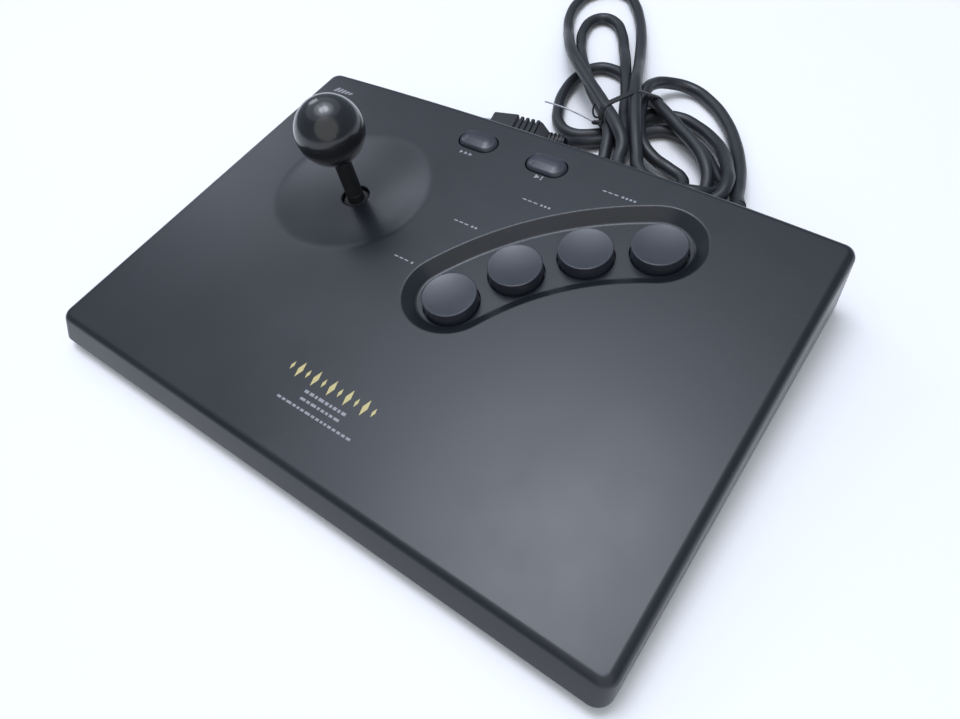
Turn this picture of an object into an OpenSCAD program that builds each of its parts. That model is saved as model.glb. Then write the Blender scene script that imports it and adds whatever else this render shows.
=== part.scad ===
// Arcade joystick panel: a wedge-shaped case with a ball-topped lever in a round dish, four round
// buttons in a curved trough, two oval keys, and a cord bundle with a nine-way plug behind it.
// World frame: origin under the middle of the case on the table, +X right, +Y to the rear, +Z up.
// Panel frame (on_panel): X right, Y up the slope, Z out of the sloping top face.

/* [Case] */
// Width of the case
case_w = 280; // [260:1:300]
// Depth of the case at the skirt
case_d = 198; // [190:1:210]
// Slope of the top face, in degrees
tilt = 5.4; // [4:0.1:7]
// Height of the top face above the middle of the case
panel_mid_z = 24.6; // [23:0.1:30]
// Wall thickness
wall = 2.6; // [2:0.1:3]
// Plan radius of the case corners
corner_r = 6; // [5:0.5:10]
// Fillet along the top edges
edge_r = 4; // [3.5:0.1:5]
// How far the rear edge bows out
rear_bow = 4; // [0:0.5:8]
// How far the front wall leans out at its foot
front_lean = 3.2; // [1:0.1:5]
// How far the rear wall leans out at its foot
rear_lean = 0; // [0:0.5:4]

/* [Dish and lever] */
// Dish centre, to the right of the middle
dish_x = -68.2; // [-75:0.1:-60]
// Dish centre, up the slope
dish_y = 27.8; // [20:0.1:32]
// Dish radius at the rim
dish_r = 36.8; // [34:0.1:40]
// Depth of the dish and of the trough
recess = 4.6; // [4:0.1:5]
// Radius of the hole that the lever comes out of
lever_hole_r = 6.7; // [6.5:0.1:8]
// Ball knob diameter
ball_d = 31; // [28:0.5:35]
// Height of the ball's centre above the top face
ball_z = 33.5; // [30:0.5:38]
// Lever shaft diameter
shaft_d = 8; // [7.5:0.1:9]

/* [Buttons] */
// Button cap diameter
cap_d = 23.1; // [22:0.1:23.4]
// Radius of the arc that the buttons stand on
arc_r = 122.9; // [120:0.1:125]
// Angle of the first button on the arc
arc_start = 156.4; // [155:0.1:158]
// Angle between buttons
arc_step = 13.9; // [13.5:0.1:14.2]
// Height of the cap rim above the top face
cap_rise = 1; // [0:0.1:2]
// Half width of the trough at the rim
trough_half = 21; // [20:0.1:22]

/* [Keys] */
// Length of the oval keys
key_l = 20.2; // [19:0.1:20.4]
// Width of the oval keys
key_w = 11.2; // [10:0.1:11.4]
// Crown of the keys above the top face
key_rise = 2.6; // [2:0.1:3]

/* [Cord and plug] */
// Cord diameter
cord_d = 6.5; // [5:0.1:6.6]
// Width of the plug hood
hood_w = 23; // [20:0.5:24]
// Thickness of the plug hood
hood_h = 14.8; // [13:0.1:15]

/* [Hidden] */
$fn = 64;
top_trim = 0.02;
eps = 0.01;
BLACK = [0.07, 0.075, 0.08];
DARK = [0.12, 0.12, 0.13];
BOARD = [0.10, 0.32, 0.16];
STEEL = [0.72, 0.73, 0.75];
RUBBER = [0.05, 0.05, 0.055];

// Case levels, from the table up
foot_r = 8;
foot_seat = 0.5;
plate_z = 3;
plate_t = 2.5;
plate_top = plate_z + plate_t;
skirt_z = 4.5;
plate_gap = 1.9;
foot_at = [[-116, -74], [116, -74], [-116, 74], [116, 74]];
case_screw_at = [[-126, -84], [0, -87], [126, -84], [-126, 84], [48, 88], [126, 84]];
case_post_r = 4;
screw_r = 1.2;
screw_bore_r = 1.25;

// Radius of the circle whose shallow arc makes the bowed rear edge
bow_r = (pow(case_w / 2, 2) + pow(rear_bow, 2)) / (2 * rear_bow);
function rear_y(x) = case_d / 2 - rear_bow * pow(x / (case_w / 2), 2);
// Height of the top face at a world y
function panel_z(y) = panel_mid_z + y * tan(tilt);
// Panel y of a corner ring whose centre stands at a world y
function ring_y(y) = (y - edge_r * sin(tilt)) / cos(tilt);

// Button arc
arc_x = 124.3;
arc_y = -51.1;
arc_angle = [for (i = [0:3]) arc_start - i * arc_step];
function on_arc(r, a) = [arc_x + r * cos(a), arc_y + r * sin(a)];
button_at = [for (a = arc_angle) on_arc(arc_r, a)];
trough_r = arc_r + 1.4;
trough_floor = 15.5;
trough_end = 0.7;
button_clear = 0.5;

// Keys
select_at = [-32.5, 80.8];
start_at = [6, 80.6];
key_clear = 0.4;

// Levels inside, measured down from the top face
boss_z = -recess - wall;
flange_top = boss_z - 0.4;
flange_t = 1.4;
flange_r = 13.2;
stem_end = -11;
board_t = 1.6;
button_board_z = -14;
key_board_z = -9.5;
key_flange_top = -2.9;
key_flange_t = 1.2;
key_stem_end = -7;
dome_gap = 0.1;
button_post_at = [[-4, 65.6], [88, 69.6], [86, -14.4], [-4, -14.4]];
key_post_at = [[-49, 80.8], [23, 80.8], [-13.2, 87]];
post_r = 2.6;
small_screw_r = 0.9;
small_bore_r = 0.95;

// Lever gimbal
pivot_z = -12.5;
pin_r = 1.5;
pin_bore_r = 1.56;
ring_half_t = 2;
ring_outer = [22, 18];
ring_inner = [16, 13.6];
hub_r = 5.5;
neck_r = 3;
tip_r = 2.5;
fit = 0.02;
housing_outer = [33.6, 25.6];
housing_inner = [27.2, 21.2];
housing_flange = [48, 36];
housing_end = -16.2;
flange_screw_at = [20.5, 14.5];
column_at = [15.2, 11.7];
column_r = 2.4;
grommet_r = 10.8;
switch_plate_t = 1;
switch_plate_end = housing_end - switch_plate_t;
collar_r = 5;
collar_top = -16.85;
collar_end = -19.9;
clip_t = 0.4;
groove_r = 2;
shaft_end = -20.8;

// Sub-miniature switches round the collar, measured out from the lever axis
switch_size = [5.8, 8.2, 2.7];
switch_near = 6.9;
switch_mid_z = -18.6;
plunger_r = 0.6;
plunger_near = 6.3;
plunger_len = 1.3;
leaf_near = 5.5;
leaf_t = 0.2;

// Cord: where it leaves the case, and its route over the table, in millimetres
exit_x = 84;
exit_z = 12;
// Outer face of the rear wall at the height of the cord
cord_wall_y = case_d / 2 - 1.5 + rear_lean * (30 - exit_z) / (30 - skirt_z);
relief_end = 119;
tail_end = 74;
cord_sides = 8;
cord_route = [
    [84, 119, 12], [80, 127, 9.8], [76.2, 138.8, 7.8], [69.6, 155.8, 5], [59, 174.8, 3.6],
    [47.2, 190.2, 3.3], [33.2, 202.4, 3.4], [18.4, 208.8, 4.2], [7.4, 204, 7.2], [3.2, 193.2, 11.5],
    [3.8, 181.6, 13.7], [8, 168.8, 11.1], [14, 156, 10.4], [21.6, 145.4, 9.1], [31.2, 140, 6.4],
    [40.6, 138.6, 4], [49.2, 135, 3.3], [51.6, 130, 3.3], [51, 125.6, 3.3], [47, 121.2, 3.3],
    [37.4, 119.4, 3.3], [27, 119.8, 3.3], [19.8, 124.2, 4], [15.4, 133, 6.2], [10.4, 146.2, 10.4],
    [1.4, 163.2, 10.5], [-5.8, 178, 10.5], [-14.6, 193.6, 11.2], [-23.8, 210, 9.8],
    [-34.6, 228.4, 5.1], [-45.2, 245.4, 3.5], [-56.4, 257.2, 3.3], [-65.6, 259.2, 3.3],
    [-70.6, 253.8, 3.3], [-69.2, 239.6, 3.4], [-60.8, 222.6, 4.8], [-47.6, 201.4, 10],
    [-36.8, 187.6, 11], [-25, 174.2, 10.1], [-5.4, 154.6, 10.4], [3.4, 142.8, 10.4], [7.2, 133.4, 7.6],
    [10.8, 124.4, 4.7], [15.6, 117.8, 3.4], [25.2, 112.8, 3.3], [41.6, 112.4, 3.3], [55, 112.6, 3.3],
    [61.4, 118.2, 3.3], [63, 126.6, 3.3], [61.4, 136.8, 5.6], [54.4, 147, 8.7], [44.6, 155.6, 10],
    [33.4, 163, 10.6], [22.2, 170.4, 11.6], [12, 178.8, 9.7], [-0.8, 190.2, 3.3], [-17.2, 202.4, 3.3],
    [-30.6, 208, 3.3], [-39.6, 205.8, 3.3], [-44.6, 194.6, 3.3], [-44.2, 178.2, 3.3],
    [-36.6, 157.4, 3.3], [-28.8, 146.6, 3.3], [-20, 142.6, 3.3], [-10.2, 145.6, 3.3], [0.6, 157, 3.3],
    [7.8, 168.8, 3.3], [15.6, 178.2, 3.3], [25.2, 181.6, 3.3], [37, 178.4, 3.3], [48.6, 171.2, 4],
    [59.8, 158.4, 6.8], [68.2, 142.6, 10.9], [73.4, 129.2, 13.7], [73.2, 119.8, 12.2],
    [64.2, 112.2, 10.4], [47, 110.4, 10.2], [32.8, 111.6, 10.4], [24, 116.4, 10.4],
    [19.6, 123.2, 11.5], [17, 132.2, 14.4], [8.6, 141.4, 17.4], [-5.2, 153.8, 17.6],
    [-26.6, 172.4, 17.1], [-42, 186.2, 16.9], [-54.6, 200.4, 14.7], [-66.8, 218.2, 9.2],
    [-77, 234.2, 4.5], [-86.8, 251.8, 3.3], [-91.6, 269.2, 3.3], [-90, 284.6, 3.3], [-81, 294.2, 3.3],
    [-68, 293.8, 3.3], [-56.6, 283.2, 3.3], [-44.6, 267, 3.5], [-32.8, 246.8, 5.3], [-17.4, 215.4, 9],
    [-7.8, 194.4, 14.6], [-0.4, 177.8, 18.8], [11.2, 155.6, 17.8], [19, 142, 15.3], [25.2, 132, 12.4],
    [31, 123.6, 10.6], [40, 119.2, 10.4], [51.6, 118.2, 10.7], [62.6, 120.8, 10.8], [68.4, 126.4, 8.2],
    [70.2, 137, 4.5], [61.8, 146.2, 3.3], [47.6, 160.4, 3.3], [34.8, 167, 3.3], [22.4, 167.2, 3.3],
    [10.2, 154.4, 3.3], [-0.6, 145, 3.3], [-9.2, 136.6, 4.5], [-14, 128, 7.5]];

// Plug: where its boot meets the cord, and the way it points
plug_at = [-14, 128, 7.5];
plug_turn = 196.5;
boot_len = 9.5;
hood_end = 42;
shell_end = 48.5;
contact_pitch = 2.77;
contact_row = 1.42;

// Twist tie round the waist of the bundle
tie_at = [1.8, 160.3];
tie_turn = 64;
// Centres of the strands inside the tie: along it, and up from the table
tie_strands = [[-10.3, 10.4], [-9.9, 17.6], [1.2, 10.5], [7.6, 18.3], [12.3, 11.6], [21.4, 9.3]];
tie_t = 0.9;
tie_w = 3.6;

// ---- frames and shared shapes ----

module on_panel() {
    translate([0, 0, panel_mid_z]) rotate([tilt, 0, 0]) children();
}

module at_lever() {
    on_panel() translate([dish_x, dish_y, 0]) children();
}

module at_plug() {
    translate(plug_at) rotate([0, 0, plug_turn]) children();
}

module four(at) {
    for (x = [-1, 1], y = [-1, 1]) translate([x * at[0], y * at[1], 0]) children();
}

// Cylinder between two levels
module rod(r, z0, z1) {
    translate([0, 0, min(z0, z1)]) cylinder(r = r, h = abs(z1 - z0));
}

// Box centred on the axis between two levels
module slab(size, z0, z1) {
    translate([-size[0] / 2, -size[1] / 2, min(z0, z1)]) cube([size[0], size[1], abs(z1 - z0)]);
}

module stadium(l, w) {
    square([l - w, w], center = true);
    for (s = [-1, 1]) translate([s * (l - w) / 2, 0]) circle(w / 2);
}

module stadium_slab(l, w, z0, z1) {
    translate([0, 0, min(z0, z1)]) linear_extrude(abs(z1 - z0)) stadium(l, w);
}

// Screw along Z: head from z_head outwards (down), shank up to z_tip
module screw(r, head_r, head_t, z_head, z_tip) {
    rod(r, z_head, z_tip);
    rod(head_r, z_head - head_t, z_head);
}

// ---- case ----

// Rounded corner of the top face, drawn in by the inset and standing a little above the panel
module edge_ring(x, y, inset) {
    translate([x, y, top_trim - edge_r]) rotate_extrude($fn = 32) intersection() {
        translate([corner_r - edge_r, 0]) circle(edge_r - inset, $fn = 32);
        translate([0, -edge_r]) square([corner_r, 2 * edge_r]);
    }
}

// Outer form of the wedge, or its hollow when inset by the wall, trimmed flat along the panel
module wedge(inset, z0) {
    half = case_w / 2 - corner_r;
    front = -case_d / 2 + corner_r;
    difference() {
        hull() {
            on_panel() {
                for (s = [-1, 1]) edge_ring(s * half, ring_y(front + front_lean), inset);
                for (i = [-3:3]) edge_ring(i / 3 * half, ring_y(rear_y(i / 3 * half) - corner_r), inset);
                cylinder(r = 1, h = 3, $fn = 8);
            }
            for (s = [-1, 1]) {
                translate([s * half, front, z0]) cylinder(r = corner_r - inset, h = 1, $fn = 32);
            }
            for (i = [-3:3]) {
                x = i / 3 * half;
                translate([x, rear_y(x) + rear_lean - corner_r, z0]) {
                    cylinder(r = corner_r - inset, h = 1, $fn = 32);
                }
            }
        }
        on_panel() translate([-case_w, -case_d, -inset]) cube([2 * case_w, 2 * case_d, 20]);
    }
}

function heading(a) = [cos(a), sin(a)];

// Outline of the button trough at one level: an arc with round ends, half wide each side of its centre line
function trough_outline(half, z) =
    let (a0 = arc_start - trough_end, a1 = arc_angle[3] + trough_end, n = 24, m = 12)
    concat(
        [for (i = [0:n]) concat(on_arc(trough_r + half, a1 + (a0 - a1) * i / n), z)],
        [for (i = [1:m - 1]) concat(on_arc(trough_r, a0) + half * heading(a0 + 180 * i / m), z)],
        [for (i = [0:n]) concat(on_arc(trough_r - half, a0 + (a1 - a0) * i / n), z)],
        [for (i = [1:m - 1]) concat(on_arc(trough_r, a1) - half * heading(a1 + 180 * i / m), z)]);

// Solid between two levels of the trough, narrow below and wide above, with its ends trimmed flat
module trough_solid(half_low, z_low, half_high, z_high) {
    spread = (half_high - half_low) / (z_high - z_low);
    low = trough_outline(half_low - spread, z_low - 1);
    high = trough_outline(half_high + spread, z_high + 1);
    n = len(low);
    sides = [for (i = [0:n - 1]) let (j = (i + 1) % n) [i, i + n, j + n, j]];
    floor_face = [for (i = [0:n - 1]) i];
    top_face = [for (i = [n - 1:-1:0]) i + n];
    intersection() {
        polyhedron(concat(low, high), concat(sides, [floor_face, top_face]));
        translate([-case_w, -case_d, z_low]) cube([2 * case_w, 2 * case_d, z_high - z_low]);
    }
}

module trough_space() {
    over = 0.5;
    top = trough_half + over * (trough_half - trough_floor) / recess;
    trough_solid(trough_floor, -recess, top, over);
}

module trough_boss() {
    trough_solid(trough_floor + wall, boss_z, trough_half + wall, -wall / 2);
}

module dish_space() {
    sphere_r = (dish_r * dish_r + recess * recess) / (2 * recess);
    translate([0, 0, sphere_r - recess]) sphere(sphere_r, $fn = 240);
}

module dish_boss() {
    flat_r = 28;
    rim_r = dish_r + wall;
    rotate_extrude() polygon([
        [0, boss_z], [flat_r, boss_z], [rim_r, -wall - 1], [rim_r, -wall / 2], [0, -wall / 2]]);
}

module board_posts(at, z) {
    for (p = at) translate(p) rod(post_r, -wall + 0.5, z);
}

module board_bores(at, z) {
    for (p = at) translate(p) rod(small_bore_r, z - 2, z + 4.5);
}

module upper_shell() {
    color(BLACK) difference() {
        union() {
            difference() {
                wedge(0, skirt_z);
                wedge(wall, skirt_z - 2);
            }
            on_panel() {
                translate([dish_x, dish_y, 0]) dish_boss();
                trough_boss();
                board_posts(button_post_at, button_board_z);
                board_posts(key_post_at, key_board_z);
            }
            for (p = case_screw_at) translate(p) rod(case_post_r, plate_top, panel_z(p[1]) - wall + 0.8);
        }
        on_panel() {
            trough_space();
            for (p = button_at) translate(p) rod(cap_d / 2 + button_clear, -recess + 1, boss_z - 1);
            translate(select_at) stadium_slab(key_l + 2 * key_clear, key_w + 2 * key_clear, 1, -wall - 1);
            translate(start_at) stadium_slab(key_l + 2 * key_clear, key_w + 2 * key_clear, 1, -wall - 1);
            board_bores(button_post_at, button_board_z);
            board_bores(key_post_at, key_board_z);
        }
        at_lever() {
            dish_space();
            rod(lever_hole_r, -recess + 2, boss_z - 1);
            four(flange_screw_at) rod(screw_bore_r, boss_z - 1, boss_z + 3);
        }
        for (p = case_screw_at) translate(p) rod(screw_bore_r, plate_top - 1, 13.2);
        translate([exit_x, cord_wall_y - 15, exit_z]) rotate([-90, 0, 0]) cylinder(r = 4.65, h = 25);
    }
}

// Plan of the case with its bowed rear edge, drawn in by the inset
module case_plan(inset) {
    r = corner_r - wall;
    w = case_w - 2 * inset;
    front = -case_d / 2 + inset;
    rear = case_d / 2 + rear_lean - inset;
    intersection() {
        union() {
            translate([-w / 2 + r, front]) square([w - 2 * r, rear - front]);
            translate([-w / 2, front + r]) square([w, rear - front - r - rear_bow - r]);
            for (s = [-1, 1]) {
                translate([s * (w / 2 - r), front + r]) circle(r);
                translate([s * (w / 2 - r), rear - rear_bow - r]) circle(r);
            }
        }
        translate([0, rear - bow_r]) circle(bow_r, $fn = 720);
    }
}

module base_plate() {
    lever_foot_y = dish_y * cos(tilt) - shaft_end * sin(tilt);
    color(BLACK) difference() {
        union() {
            translate([0, 0, plate_z]) linear_extrude(plate_t) case_plan(wall + plate_gap);
            translate([exit_x - 12, 80, plate_top - eps]) cube([24, 8, exit_z - 0.2 - plate_top]);
        }
        for (p = foot_at) translate(p) rod(foot_r + 0.1, plate_z - 1, plate_z + foot_seat);
        for (p = case_screw_at) translate(p) {
            rod(screw_r + 0.4, plate_z - 1, plate_top + 1);
            rod(3.1, plate_z - 1, plate_z + 1.4);
        }
        translate([dish_x, lever_foot_y, 0]) rod(12, plate_top - 0.8, plate_top + 1);
        translate([exit_x, 70, exit_z]) rotate([-90, 0, 0]) cylinder(r = cord_d / 2 + 0.05, h = 30);
        for (s = [-1, 1]) translate([exit_x + s * 8.5, 84, 0]) rod(screw_bore_r, plate_top + 0.5, exit_z + 1);
    }
}

module rubber_feet() {
    color(RUBBER) for (p = foot_at) translate(p) rod(foot_r, 0, plate_z + foot_seat);
}

module case_screws() {
    color(STEEL) for (p = case_screw_at) translate(p) screw(screw_r, 2.9, 1.3, plate_z + 1.4, 13);
}

// ---- boards, buttons and keys ----

module button_board() {
    color(BOARD) on_panel() difference() {
        translate([-8, -20, button_board_z - board_t]) cube([100, 95, board_t]);
        for (p = button_post_at) translate(p) {
            rod(small_screw_r + 0.2, button_board_z - 3, button_board_z + 1);
        }
    }
}

module key_board() {
    color(BOARD) on_panel() difference() {
        translate([-53, 71.6, key_board_z - board_t]) cube([80, 19, board_t]);
        for (p = key_post_at) translate(p) rod(small_screw_r + 0.2, key_board_z - 3, key_board_z + 1);
    }
}

module board_screws() {
    color(STEEL) on_panel() {
        for (p = button_post_at) translate(p)
            screw(small_screw_r, 1.9, 1.3, button_board_z - board_t, button_board_z + 4);
        for (p = key_post_at) translate(p)
            screw(small_screw_r, 1.9, 1.3, key_board_z - board_t, key_board_z + 4);
    }
}

// Button cap: a cup with a shallow dished top, a flange that keeps it in and a stem that presses the dome
module button(i) {
    cap_r = cap_d / 2;
    dish_depth = 0.9;
    bowl_r = (cap_r * cap_r + dish_depth * dish_depth) / (2 * dish_depth);
    color(DARK) on_panel() translate(button_at[i]) difference() {
        union() {
            rod(cap_r, flange_top - flange_t, cap_rise);
            rod(flange_r, flange_top - flange_t, flange_top);
        }
        translate([0, 0, cap_rise - dish_depth + bowl_r]) sphere(bowl_r, $fn = 180);
        difference() {
            rod(cap_r - 1.6, flange_top - flange_t - 1, cap_rise - 2.6);
            rod(3.5, flange_top - flange_t - 2, cap_rise);
        }
    }
    color(DARK) on_panel() translate(button_at[i]) rod(3.5, stem_end, cap_rise - 2);
}

// Rubber dome: a thin skirt on the board and a thick crown under the stem
module dome(base_z, top_z, base_r, top_r) {
    skin = 0.6;
    color(RUBBER) difference() {
        union() {
            rod(base_r, base_z, base_z + skin);
            translate([0, 0, base_z]) cylinder(r1 = base_r - 1, r2 = top_r, h = top_z - base_z);
        }
        translate([0, 0, base_z - eps])
            cylinder(r1 = base_r - 1 - skin, r2 = top_r - skin, h = top_z - base_z - 2 * skin);
    }
}

module button_dome(i) {
    on_panel() translate(button_at[i]) dome(button_board_z, stem_end - dome_gap, 7, 3.8);
}

module oval_key(at) {
    crown_r = 35;
    color(DARK) on_panel() translate(at) {
        intersection() {
            stadium_slab(key_l, key_w, key_flange_top, key_rise);
            translate([0, 0, key_rise - crown_r]) sphere(crown_r, $fn = 180);
        }
        stadium_slab(key_l + 3.8, key_w + 3.8, key_flange_top - key_flange_t, key_flange_top);
        rod(2, key_stem_end, key_flange_top - key_flange_t + eps);
    }
}

module key_dome(at) {
    on_panel() translate(at) dome(key_board_z, key_stem_end - dome_gap, 4.6, 2.4);
}

// ---- lever ----

module lever_housing() {
    color(DARK) at_lever() difference() {
        union() {
            slab(housing_flange, boss_z - 0.1, boss_z - 1.6);
            slab(housing_outer, boss_z - 1.6, housing_end);
            four(column_at) rod(column_r, boss_z - 1.6, housing_end);
        }
        slab(housing_inner, boss_z - 1.6, housing_end - 1);
        rod(grommet_r + 0.05, boss_z + 1, boss_z - 2);
        translate([-30, 0, pivot_z]) rotate([0, 90, 0]) cylinder(r = pin_bore_r, h = 60);
        four(flange_screw_at) rod(screw_r + 0.2, boss_z + 1, boss_z - 3);
        four(column_at) rod(small_bore_r, housing_end - 1, housing_end + 5);
    }
}

module housing_screws() {
    color(STEEL) at_lever() four(flange_screw_at) screw(screw_r, 2.3, 1.5, boss_z - 1.6, boss_z + 2.8);
}

module centering_grommet() {
    color(RUBBER) at_lever() difference() {
        union() {
            rod(grommet_r, boss_z - 0.2, boss_z - 1.4);
            rod(shaft_d / 2 + 1.6, boss_z - 0.2, boss_z + 1.2);
        }
        rod(shaft_d / 2 + 0.05, boss_z - 3, boss_z + 3);
    }
}

module gimbal_ring() {
    color(DARK) at_lever() translate([0, 0, pivot_z]) difference() {
        union() {
            slab(ring_outer, -ring_half_t, ring_half_t);
            for (s = [-1, 1]) rotate([0, s * 90, 0]) rod(pin_r, ring_outer[0] / 2 - 1, 16.4);
        }
        slab(ring_inner, -ring_half_t - 1, ring_half_t + 1);
        rotate([90, 0, 0]) translate([0, 0, -20]) cylinder(r = pin_bore_r, h = 40);
    }
}

module gimbal_hub() {
    color(STEEL) at_lever() translate([0, 0, pivot_z]) difference() {
        union() {
            rod(hub_r, -ring_half_t, ring_half_t);
            for (s = [-1, 1]) rotate([s * 90, 0, 0]) rod(pin_r, hub_r - 1.5, 8.8);
        }
        rod(neck_r + fit, -ring_half_t - 1, ring_half_t + 1);
    }
}

module lever_shaft() {
    seat_z = ball_z - sqrt(pow(ball_d / 2, 2) - pow(shaft_d / 2, 2));
    color(BLACK) at_lever() difference() {
        union() {
            rod(shaft_d / 2, pivot_z + ring_half_t, seat_z);
            rod(tip_r, seat_z, ball_z - 4);
            rod(neck_r, collar_top, pivot_z + ring_half_t);
            rod(tip_r, shaft_end, collar_top);
        }
        difference() {
            rod(tip_r + 1, collar_end - 0.1 - clip_t, collar_end - 0.1);
            rod(groove_r, collar_end - 1, collar_end);
        }
    }
}

module ball_knob() {
    seat_z = ball_z - sqrt(pow(ball_d / 2, 2) - pow(shaft_d / 2, 2));
    color(BLACK) at_lever() difference() {
        translate([0, 0, ball_z]) sphere(ball_d / 2, $fn = 96);
        rod(shaft_d, seat_z - 2, seat_z);
        rod(tip_r + fit, seat_z - 1, ball_z - 3.5);
    }
}

module actuator_collar() {
    color(DARK) at_lever() difference() {
        rod(collar_r, collar_end, collar_top);
        rod(tip_r + fit, collar_end - 1, collar_top + 1);
    }
}

module retaining_clip() {
    color(STEEL) at_lever() difference() {
        rod(3.6, collar_end - 0.1 - clip_t, collar_end - 0.1);
        rod(groove_r + fit, collar_end - 2, collar_end);
        translate([0, -1.4, collar_end - 2]) cube([5, 2.8, 4]);
    }
}

module switch_plate() {
    color(BOARD) at_lever() difference() {
        slab([36, 29], housing_end, switch_plate_end);
        rod(7.6, housing_end + 1, switch_plate_end - 1);
        four(column_at) rod(small_screw_r + 0.2, housing_end + 1, switch_plate_end - 1);
    }
}

module switch_plate_screws() {
    color(STEEL) at_lever() four(column_at) {
        screw(small_screw_r, 1.6, 0.9, switch_plate_end, housing_end + 4.5);
    }
}

// A switch lies under the plate and faces the collar; turn 0 is on the right of the lever
module switch(turn) {
    color(DARK) at_lever() rotate([0, 0, turn]) difference() {
        translate([switch_near, -switch_size[1] / 2, switch_plate_end - 0.05 - switch_size[2]]) {
            cube(switch_size);
        }
        translate([switch_near - 1, 0, switch_mid_z]) rotate([0, 90, 0]) {
            cylinder(r = plunger_r + 0.05, h = 2.2);
        }
    }
}

module plunger(turn) {
    color(STEEL) at_lever() rotate([0, 0, turn])
        translate([plunger_near, 0, switch_mid_z]) rotate([0, 90, 0]) {
            cylinder(r = plunger_r, h = plunger_len);
        }
}

// Spring leaves between the collar and the plungers, each with a foot on its switch and a small pad
module switch_leaves() {
    color(STEEL) at_lever() for (turn = [0:90:270]) rotate([0, 0, turn]) {
        translate([leaf_near, -3.2, switch_mid_z - 1]) cube([leaf_t, 7.2, 2]);
        translate([leaf_near, 3.8, switch_mid_z - 1]) cube([switch_near - leaf_near, leaf_t, 2]);
        translate([leaf_near, -0.8, switch_mid_z - 0.6]) cube([0.7, 1.6, 1.2]);
    }
}

// ---- wiring and cord entry ----

// Flat cables: switch plate to button board, and key board to button board
module ribbon_cables() {
    t = 0.6;
    low = switch_plate_end;
    mid = button_board_z - board_t;
    key_low = key_board_z - board_t;
    color([0.45, 0.45, 0.47]) on_panel() {
        translate([0, 32, 0]) rotate([90, 0, 0]) linear_extrude(10) polygon([
            [-54, low], [-49, low], [-12, mid], [-4, mid],
            [-4, mid - t], [-12, mid - t], [-49, low - t], [-54, low - t]]);
        translate([8, 0, 0]) rotate([90, 0, 90]) linear_extrude(8) polygon([
            [82, key_low], [75.5, key_low], [70, button_board_z + t], [62, button_board_z + t],
            [62, button_board_z], [71, button_board_z], [76, key_low - t], [82, key_low - t]]);
    }
}

module cord_tail() {
    color(RUBBER) translate([exit_x, tail_end, exit_z]) rotate([-90, 0, 0])
        cylinder(d = cord_d, h = cord_wall_y - wall - 5.6 - tail_end);
}

module cord_wires() {
    color("firebrick") translate([exit_x, tail_end, exit_z]) rotate([90, 0, 0])
        for (a = [0:60:300]) rotate([0, 0, a]) translate([1.7, 0, 0]) cylinder(r = 0.6, h = 6.1);
}

module cord_header() {
    color("ivory") on_panel() translate([exit_x - 5, 56, button_board_z - board_t - 6]) cube([10, 10, 6]);
}

module cord_clamp() {
    color(DARK) difference() {
        translate([exit_x - 12, 80, exit_z + 0.2]) cube([24, 8, 4.6]);
        translate([exit_x, 70, exit_z]) rotate([-90, 0, 0]) cylinder(r = cord_d / 2 + 0.05, h = 30);
        for (s = [-1, 1]) translate([exit_x + s * 8.5, 84, 0]) rod(screw_r + 0.2, exit_z, exit_z + 6);
    }
}

module clamp_screws() {
    color(STEEL) for (s = [-1, 1]) translate([exit_x + s * 8.5, 84, exit_z + 4.8]) mirror([0, 0, 1])
        screw(screw_r, 2.3, 1.4, 0, 9.5);
}

module strain_relief() {
    out = cord_wall_y;
    collar_t = 2.5;
    color(RUBBER) translate([exit_x, 0, exit_z]) rotate([-90, 0, 0]) {
        rod(6, out - wall - 5.6, out - wall - 3.6);
        rod(4.6, out - wall - 3.7, out + collar_t);
        rod(5.6, out + 1, out + collar_t);
        translate([0, 0, out + collar_t - eps]) {
            cylinder(r1 = 4.7, r2 = 3.5, h = relief_end - out - collar_t + eps);
        }
    }
}

// ---- cord, swept ring by ring along its route ----

function unit(v) = v / norm(v);
function way(p, i) = unit(p[min(i + 1, len(p) - 1)] - p[max(i - 1, 0)]);
function cord_ring(p, i, r, n) =
    let (t = way(p, i), side = unit(cross([0, 0, 1], t)), up = cross(t, side))
    [for (k = [0:n - 1]) p[i] + r * (cos(360 * k / n) * side + sin(360 * k / n) * up)];

module cord_tube() {
    n = cord_sides;
    m = len(cord_route);
    points = [for (i = [0:m - 1]) each cord_ring(cord_route, i, cord_d / 2, n)];
    sides = [for (i = [0:m - 2], k = [0:n - 1])
        [i * n + k, i * n + (k + 1) % n, (i + 1) * n + (k + 1) % n, (i + 1) * n + k]];
    ends = [[for (k = [n - 1:-1:0]) k], [for (k = [0:n - 1]) (m - 1) * n + k]];
    color(RUBBER) polyhedron(points, concat(sides, ends), convexity = 10);
}

// ---- plug and tie ----

module plug_boot() {
    color(RUBBER) at_plug() rotate([0, 90, 0]) {
        cylinder(r1 = 3.7, r2 = 4.4, h = boot_len);
        for (i = [0:3]) translate([0, 0, 1.2 + 2.1 * i]) cylinder(r = 4.4 + 0.2 * i, h = 1.1);
    }
}

module plug_hood() {
    half = hood_w / 2;
    color(BLACK) at_plug() difference() {
        translate([0, 0, -hood_h / 2]) linear_extrude(hood_h) polygon([
            [boot_len, -5], [14, -8.5], [27, -half + 1], [28, -half], [hood_end, -half],
            [hood_end, half], [28, half], [27, half - 1], [14, 8.5], [boot_len, 5]]);
        for (i = [0:3], s = [-1, 1]) {
            translate([15.5 + 3 * i, -half, s * (hood_h / 2) - 0.9]) cube([1.5, hood_w, 1.8]);
            translate([15.5 + 3 * i, s * (half - 0.2) - 2, -hood_h / 2]) cube([1.5, 4, hood_h]);
        }
        translate([33.9, 0, 0]) plug_d(0, hood_end - 33.8);
    }
}

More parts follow.
